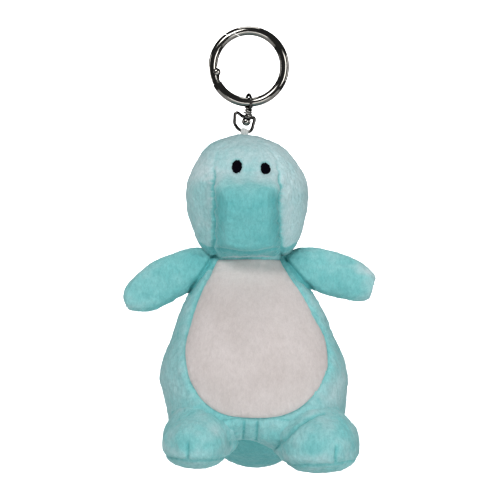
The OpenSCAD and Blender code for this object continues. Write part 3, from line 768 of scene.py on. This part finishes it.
def make_arm(side):
    a = ARMS[side]
    nv, nu = ((190, 130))
    k = dense(0, 1, nv, [(1.0, 0.12, 2.0)])
    T, B = spline(a["top"], k), spline(a["low"], k)
    mid, half = (T + B) / 2, (T - B) / 2
    hw = np.linalg.norm(half, axis=1)
    th = a["thick"] * np.clip(1 - np.clip((k - 0.45) / 0.55, 0, 1) ** 2.6, 0, 1) ** 0.5 * (0.86 + 0.14 * smooth(k / 0.35))
    th = np.minimum(th, hw * 1.05 + 0.05)
    ph = np.linspace(0, 2 * np.pi, nu, endpoint=False)
    C, S = np.cos(ph)[None, :], np.sin(ph)[None, :]
    X = mid[:, 0:1] + half[:, 0:1] * spow(C, 0.92)
    Z = mid[:, 1:2] + half[:, 1:2] * spow(C, 0.92)
    Y = th[:, None] * spow(S, 0.92)
    P = np.stack([X, Y, Z], -1)
    N = grid_normals(P, True)
    cen = P.mean(1, keepdims=True)
    if np.mean(np.sum(N * (P - cen), -1)) < 0:
        N = -N
    # the seam round the edge of the flipper
    edge = np.abs(Y)
    kk = k[:, None] + 0 * Y
    g = np.exp(-(edge / 0.55) ** 2) * smooth((kk - 0.12) / 0.1)
    P = P - N * (0.42 * g)[..., None]
    # the notch at the tip
    tip = (np.exp(-((kk - 0.965) / 0.010) ** 2) + 1.2 * np.exp(-((kk - 0.999) / 0.006) ** 2) + 0.8 * np.exp(-((kk - 0.925) / 0.010) ** 2)) * np.exp(-(edge / 1.9) ** 2)
    P = P - N * (0.55 * tip)[..., None]
    crease = np.exp(-(arm_crease(P) / 0.8) ** 2)
    P = P - N * (0.8 * crease + 0.5 * np.exp(-(arm_crease(P) / 0.4) ** 2))[..., None]
    # creases where the arm is gathered into the shoulder
    P = P + N * (0.28 * np.exp(-((kk - 0.20) / 0.10) ** 2) * np.cos(ph[None, :] * 7 + 2 * vnoise(P, 5, a["seed"] + 3)))[..., None]
    P = wrinkle(P, N, 0.32, 6.5, a["seed"])
    P = wrinkle(P, N, 0.16, 3.0, a["seed"] + 1)
    P2 = pile(P, N, 0.20, a["seed"] + 5)
    flip = np.mean(np.sum(grid_normals(P, True) * (P - cen), -1)) < 0
    ob = grid_object(f"arm_{side}_plush", P2, flip=bool(flip))
    nap = P * np.array([0.55, 1.0, 1.0])
    # painted sheen and shade: upward faces and the tip paler, the root deeper, and painted shade in the edge seam, the
    # shoulder crease and the tip notch; the noise is the fur's own streaks
    tone = 0.42 + 0.20 * smooth(N[..., 2] - 0.1) + 0.16 * vnoise(nap, 3.6, a["seed"] + 8) + 0.10 * vnoise(nap, 1.6, a["seed"] + 9) - 0.28 * g
    tone += 0.16 * smooth((kk - 0.80) / 0.2) + a["pale"] * smooth((kk - 0.58) / 0.34) - 0.22 * smooth((0.38 - kk) / 0.2) - 0.45 * crease - 0.2 * tip
    set_tone(ob, np.clip(tone, 0, 1))
    return ob


for side, start, end in (("left", (-0.0125, 0, -0.0655), (-0.0205, 0, -0.0665)), ("right", (0.0135, 0, -0.0655), (0.0215, 0, -0.0665))):
    arm = make_arm(side)
    paint(arm, teal)
    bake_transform(arm)
    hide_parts(f"arm_{side}_front", f"arm_{side}_back", f"arm_{side}_filling")


# ---------------------------------------------------------------- feet and tail
def blob(c, s, nu, nv, e1=0.9, e2=0.9):
    """A rounded pillow shape about c with half sizes s."""
    t = np.linspace(0, 1, nv)
    u = np.linspace(0, 360, nu, endpoint=False)
    U, T = np.meshgrid(u, t)
    th = np.pi * T
    X = c[0] + s[0] * spow(np.sin(th), e1) * spow(np.cos(np.radians(U)), e2)
    Y = c[1] + s[1] * spow(np.sin(th), e1) * spow(np.sin(np.radians(U)), e2)
    Z = c[2] + s[2] * spow(np.cos(th), e1)
    return np.stack([X, Y, Z], -1), U, T


def foot_shape(f, U, T):
    """A short leg that swells into a rounded hoof: T runs from the top, hidden in the body, to the sole."""
    c, s = f["c"], f["s"]
    zr = np.where(T < 0.5, np.cos(np.pi * T) * f["up"], np.cos(np.pi * T) * f["down"])
    hi = np.clip(zr / f["up"], 0, 1)
    lo = np.clip(-zr / f["down"], 0, 1)
    rx = np.where(zr > 0, (1 - hi ** 1.9) ** (1 / 1.9), (1 - lo ** 2.5) ** (1 / 2.2))
    ry = np.where(zr > 0, (1 - hi ** 1.9) ** (1 / 1.9), (1 - lo ** 2.9) ** (1 / 2.4))
    cu, su = np.cos(np.radians(U)), np.sin(np.radians(U))
    back = 0.62 + 0.38 * smooth((0.2 - su) / 0.4)
    return np.stack([c[0] + s[0] * rx * spow(cu, 0.86), c[1] + s[1] * back * ry * spow(su, 0.9), c[2] + zr + 0 * su], -1)


def make_foot(side):
    f = FEET[side]
    c = np.array(f["c"])
    nu, nv = ((250, 200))
    u = dense(0, 360, nu, [(270, 50, 0.8)], 360)
    U, T = np.meshgrid(u, np.linspace(0.0, 1, nv))
    P = foot_shape(f, U, T)
    N = grid_normals(P, True)
    if np.mean(np.sum(N * (P - c), -1)) < 0:
        N = -N
    P = P + N * (fillet(trunk_distance(P), 10) * smooth((P[..., 2] - c[2] + 6) / 5))[..., None]
    ls = leg_seam(P)
    P = P - N * (0.55 * np.exp(-(ls / 0.5) ** 2))[..., None]
    front = P[..., 1] < c[1]
    xr, zr = P[..., 0] - c[0], P[..., 2] - c[2]
    # the sole is sewn on a little above the ground
    zs = -0.60 * f["down"] + 0.4 * np.cos(np.radians(U) * 2) + 0.05 * xr * (1 if side == "right" else -0.6)
    P = P - N * (0.30 * np.exp(-((zr - zs) / 0.38) ** 2) - 0.10 * np.exp(-((zr - zs - 1.5) / 1.0) ** 2))[..., None]
    # the crease between the toes
    g = np.exp(-((xr - f["toe"]) / 0.45) ** 2) * smooth((zr - zs) / 0.8) * smooth((1.2 - zr) / 2.4)
    P = P - N * np.where(front, 0.70 * g, 0)[..., None]
    P = P + N * np.where(front, 0.30 * np.exp(-((np.abs(xr - f["toe"]) - 1.9) / 1.3) ** 2) * smooth((zr - zs) / 1.5) * smooth((2.0 - zr) / 3), 0)[..., None]
    # soft dents of a lightly stuffed leg
    P = P + N * (0.55 * vnoise(P * np.array([1, 1, 0.8]), 7.5, f["seed"] + 3) * smooth((zr + 7) / 5))[..., None]
    P = wrinkle(P, N, 0.34, 5.0, f["seed"])
    P = wrinkle(P, N, 0.18, 2.6, f["seed"] + 1)
    P2 = pile(P, N, 0.20, f["seed"] + 5)
    flip = np.mean(np.sum(grid_normals(P, True) * (P - c), -1)) < 0
    ob = grid_object(f"foot_{side}_plush", P2, flip=bool(flip))
    # painted sheen on upward faces; painted shade in the sole seam, the toe crease and the leg seam, and a painted
    # highlight on the swell above the sole seam
    tone = 0.50 + 0.12 * smooth(N[..., 2]) + 0.20 * vnoise(P, 5.0, f["seed"] + 8) + 0.08 * vnoise(P, 2.0, f["seed"] + 9)
    tone -= 0.28 * np.exp(-((zr - zs) / 0.5) ** 2) + np.where(front, 0.34 * g, 0)
    tone += np.where(front, 0.16 * np.exp(-((zr - zs - 2.2) / 1.6) ** 2), 0) - 0.32 * np.exp(-(ls / 0.5) ** 2)
    set_tone(ob, np.clip(tone, 0, 1))
    return ob


for side in ("left", "right"):
    foot = make_foot(side)
    finish_piece(foot, teal, "torso",
                 [f"foot_{side}_upper", f"foot_{side}_sole", f"foot_{side}_filling", f"toe_stitch_{side}"])


def make_tail():
    """A stubby tail, thick at the root and tapering backwards, with a seam along each side."""
    nv, nu = ((170, 130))
    k = dense(0, 1, nv, [(1.0, 0.1, 1.5)])
    path = spline([(2.1, 4, -112), (2.1, 12, -117.5), (2.1, 20, -120.9), (2.1, 29, -121.4), (2.1, 37, -120.6), (2.1, 42.2, -119.6)], k)
    hw = pchip([(0, 9.5), (0.2, 12.0), (0.4, 13.5), (0.6, 12.8), (0.8, 9.8), (0.92, 6.2), (0.98, 3.0), (1, 0.3)])(k)
    hh = pchip([(0, 7.4), (0.2, 8.2), (0.4, 8.5), (0.6, 8.0), (0.8, 6.3), (0.92, 4.0), (0.98, 1.9), (1, 0.3)])(k)
    tan = np.gradient(path, axis=0)
    tan /= np.linalg.norm(tan, axis=1, keepdims=True)
    side = np.array([1.0, 0, 0])
    upv = np.cross(side, tan)
    upv = upv * np.sign(upv[:, 2:3] + 1e-9)
    ph = np.linspace(0, 2 * np.pi, nu, endpoint=False)
    P = path[:, None, :] + hw[:, None, None] * np.cos(ph)[None, :, None] * side + hh[:, None, None] * np.sin(ph)[None, :, None] * upv[:, None, :]
    N = grid_normals(P, True)
    cen = P.mean(1, keepdims=True)
    if np.mean(np.sum(N * (P - cen), -1)) < 0:
        N = -N
    for a0 in (0, np.pi):
        d = ((ph - a0 + np.pi) % (2 * np.pi) - np.pi)[None, :] * hh[:, None]
        P = P - N * (0.4 * np.exp(-(d / 0.6) ** 2))[..., None]
    P = wrinkle(P, N, 0.32, 7.0, 301)
    P = wrinkle(P, N, 0.16, 3.0, 302)
    P2 = pile(P, N, 0.17, 303)
    flip = np.mean(np.sum(grid_normals(P, True) * (P - cen), -1)) < 0
    ob = grid_object("tail_plush", P2, flip=bool(flip))
    # painted shade: the tail is painted deep as if in the body's shadow, and upward faces a little paler as sheen
    tone = 0.10 + 0.10 * vnoise(P, 5.0, 308) + 0.10 * smooth(N[..., 2])
    set_tone(ob, np.clip(tone, 0, 1))
    return ob


tail = make_tail()
paint(tail, teal)
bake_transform(tail)
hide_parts("tail_upper", "tail_under", "tail_filling")

# ---------------------------------------------------------------- hardware
for n in ("ring_body", "ring_gate", "gate_spring"):
    paint(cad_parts[n], metal)
for n in ("swivel_rivet", "swivel_washer"):
    paint(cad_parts[n], metal)
# the swivel eye gets the darker nickel copy: painted shade standing in for dark reflections
paint(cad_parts["swivel_eye"], metal_dark)

LEAN = math.radians(10.5)


def leaned(p):
    x, y, z = p
    return (x * math.cos(LEAN) + z * math.sin(LEAN), y, -13.4 - x * math.sin(LEAN) + z * math.cos(LEAN))


def make_wrap():
    """The tail of the eye's wire, wound three times round its shank."""
    n = 260
    t = np.linspace(0, 1, n)
    a = t * 2 * np.pi * 3.5 - 0.5 * np.pi
    r = 0.96 + 0.46 * t + 0.02 * np.sin(a)
    z = 0.66 - 2.74 * t
    pts = [leaned((r[i] * math.cos(a[i]), r[i] * math.sin(a[i]), z[i])) for i in range(n)]
    return tube("swivel_coil", pts, 0.26, 20, radii=0.26 * (1 - 0.5 * smooth((np.abs(t - 0.5) - 0.47) / 0.03)))


def make_pin():
    """The gate's hinge pin, with a domed head on each face of the ring."""
    n = 64
    dome = [(1.98 - 0.55 * (1 - math.cos(t)), 1.02 * math.sin(t)) for t in np.linspace(0.12, 0.5 * np.pi, 10)]
    prof = [(-h, r) for h, r in dome] + [(-1.38, 1.0), (-1.36, 0.52), (1.36, 0.52), (1.38, 1.0)] + [(h, r) for h, r in reversed(dome)]
    a = np.linspace(0, 2 * np.pi, n, endpoint=False)
    v = [(-10.248 + r * math.cos(t), h, -1.762 + r * math.sin(t)) for h, r in prof for t in a]
    f = [(i * n + j, i * n + (j + 1) % n, (i + 1) * n + (j + 1) % n, (i + 1) * n + j) for i in range(len(prof) - 1) for j in range(n)]
    v += [(-10.248, -1.98, -1.762), (-10.248, 1.98, -1.762)]
    m = len(prof) * n
    f += [(m, (j + 1) % n, j) for j in range(n)]
    f += [(m + 1, m - n + j, m - n + (j + 1) % n) for j in range(n)]
    me = bpy.data.meshes.new("hinge_pin")
    me.from_pydata([tuple(c * 0.001 for c in p) for p in v], [], f)
    me.update()
    ob = bpy.data.objects.new("hinge_pin", me)
    bpy.context.scene.collection.objects.link(ob)
    if sum(p.normal.y * (p.center.y) for p in me.polygons) < 0:
        me.flip_normals()
    me.polygons.foreach_set("use_smooth", [True] * len(me.polygons))
    return ob


pin = make_pin()
finish_piece(pin, metal, "ring", ["gate_hinge_pin"])
wrap = make_wrap()
finish_piece(wrap, metal, "eye", ["swivel_wrap"])


def make_stirrup():
    """One bent wire: a collar round the rivet, square shoulders, two arms and the bar the thread is tied to."""
    n = 120
    a = np.linspace(0, 2 * np.pi, n, endpoint=False)
    collar = tube("stirrup_collar", [leaned((1.52 * math.cos(t), 1.52 * math.sin(t), -2.95)) for t in a], 0.42, 20, closed=True)
    flat = [leaned((-1.40, 0, -2.95))]
    flat += [(x, 0.0, z) for x, z in (px(*q) for q in ((240.0, 114.2), (237.0, 112.6), (235.2, 113.6), (234.7, 118.0), (234.6, 123.0), (236.6, 126.8), (239.9, 129.9)))]
    flat += [(x, 0.0, z) for x, z in (px(*q) for q in ((244.5, 130.8), (249.1, 131.7), (252.0, 128.6), (253.3, 124.0), (254.4, 120.0), (254.0, 117.9), (252.2, 117.5)))]
    flat += [leaned((1.40, 0, -2.95))]
    wire = tube("stirrup_wire", spline(flat, 360), 0.54, 20)
    me = wire.data
    v = [tuple(p.co) for p in me.vertices]
    f = [tuple(p.vertices) for p in me.polygons]
    k = len(v)
    v += [tuple(p.co) for p in collar.data.vertices]
    f += [tuple(i + k for i in p.vertices) for p in collar.data.polygons]
    for o in (wire, collar):
        bpy.data.objects.remove(o)
    me = bpy.data.meshes.new("swivel_bail")
    me.from_pydata(v, [], f)
    me.polygons.foreach_set("use_smooth", [True] * len(me.polygons))
    me.update()
    ob = bpy.data.objects.new("swivel_bail", me)
    bpy.context.scene.collection.objects.link(ob)
    return ob


bail = make_stirrup()
# the bail gets the darker nickel copy: painted shade standing in for dark reflections
finish_piece(bail, metal_dark, "stirrup", ["swivel_stirrup"])


def make_loop():
    """A few turns of sewing thread from the crown round the stirrup's bar."""
    n = 420
    t = np.linspace(0, 1, n)
    a = t * 2 * np.pi * 8.0
    w = 2 * t - 1
    r = 1.04 - 0.30 * np.abs(w) ** 2.2 + 0.03 * np.sin(a * 0.5)
    x = -1.38 + 1.12 * w
    pts = np.stack([x + 0.05 * np.sin(3 * a), 0.86 * r * np.sin(a), -21.08 - 0.185 * (x + 1.38) - 1.16 * r * np.cos(a)], -1)
    return tube("thread_loop", pts, 0.21, 12)


loop = make_loop()
finish_piece(loop, white_thread, "head", ["hanging_loop"])

# ---------------------------------------------------------------- stage, light and camera
def stage_mat(name, c, rough):
    m = bpy.data.materials.new(name)
    nt, b = nodes_of(m)
    b.inputs["Base Color"].default_value = (*c, 1)
    b.inputs["Roughness"].default_value = rough
    return m


def quad(name, verts, mat):
    me = bpy.data.meshes.new(name)
    me.from_pydata(verts, [], [(0, 1, 2, 3)])
    ob = bpy.data.objects.new(name, me)
    bpy.context.scene.collection.objects.link(ob)
    ob.data.materials.append(mat)
    return ob


pale = stage_mat("stage_pale", (0.96, 0.96, 0.96), 0.9)
quad("floor", [(-0.6, -0.7, -0.42), (0.6, -0.7, -0.42), (0.6, 2.0, -0.42), (-0.6, 2.0, -0.42)], pale)
quad("backdrop", [(-0.6, 2.0, -0.42), (0.6, 2.0, -0.42), (0.6, 2.0, 0.35), (-0.6, 2.0, 0.35)], pale)


def area(name, loc, target, size, power, color=(1, 1, 1)):
    l = bpy.data.lights.new(name, "AREA")
    l.energy = power
    l.shape = "RECTANGLE"
    l.size, l.size_y = size
    l.color = color
    o = bpy.data.objects.new(name, l)
    bpy.context.scene.collection.objects.link(o)
    o.location = loc
    o.rotation_euler = (Vector(target) - Vector(loc)).to_track_quat("-Z", "Y").to_euler()
    return o


area("key", (-0.30, -0.80, 0.55), (0, 0, -0.06), (0.45, 0.35), 5.0)
area("fill", (0.55, -0.80, 0.0), (0, 0, -0.07), (0.30, 0.50), 2.9)
area("low", (0.0, -0.9, -0.50), (0, 0, -0.08), (0.7, 0.2), 2.6)
area("side_left", (-0.7, 0.05, 0.0), (0, 0, -0.07), (0.20, 0.5), 0.9)
area("side_right", (0.7, 0.05, 0.0), (0, 0, -0.07), (0.20, 0.5), 0.9)
area("top", (0, 0.15, 0.75), (0, 0, -0.06), (0.4, 0.3), 1.6)
area("wall", (0, 1.5, 0.55), (0, 2.0, -0.05), (1.0, 0.3), 22)
w = bpy.data.worlds.new("world")
bpy.context.scene.world = w
w.use_nodes = True
w.node_tree.nodes["Background"].inputs["Color"].default_value = (0.80, 0.82, 0.84, 1)
w.node_tree.nodes["Background"].inputs["Strength"].default_value = 0.06
bpy.context.scene.view_settings.view_transform = "Standard"
bpy.context.scene.view_settings.look = "None"

cam = bpy.data.cameras.new("camera")
cam.lens = 270
cam.sensor_width = 36
cam.clip_end = 10
co = bpy.data.objects.new("camera", cam)
bpy.context.scene.collection.objects.link(co)
co.location = (0.0004, -1.2, -0.0587)
co.rotation_euler = (math.radians(90), 0, 0)
bpy.context.scene.camera = co
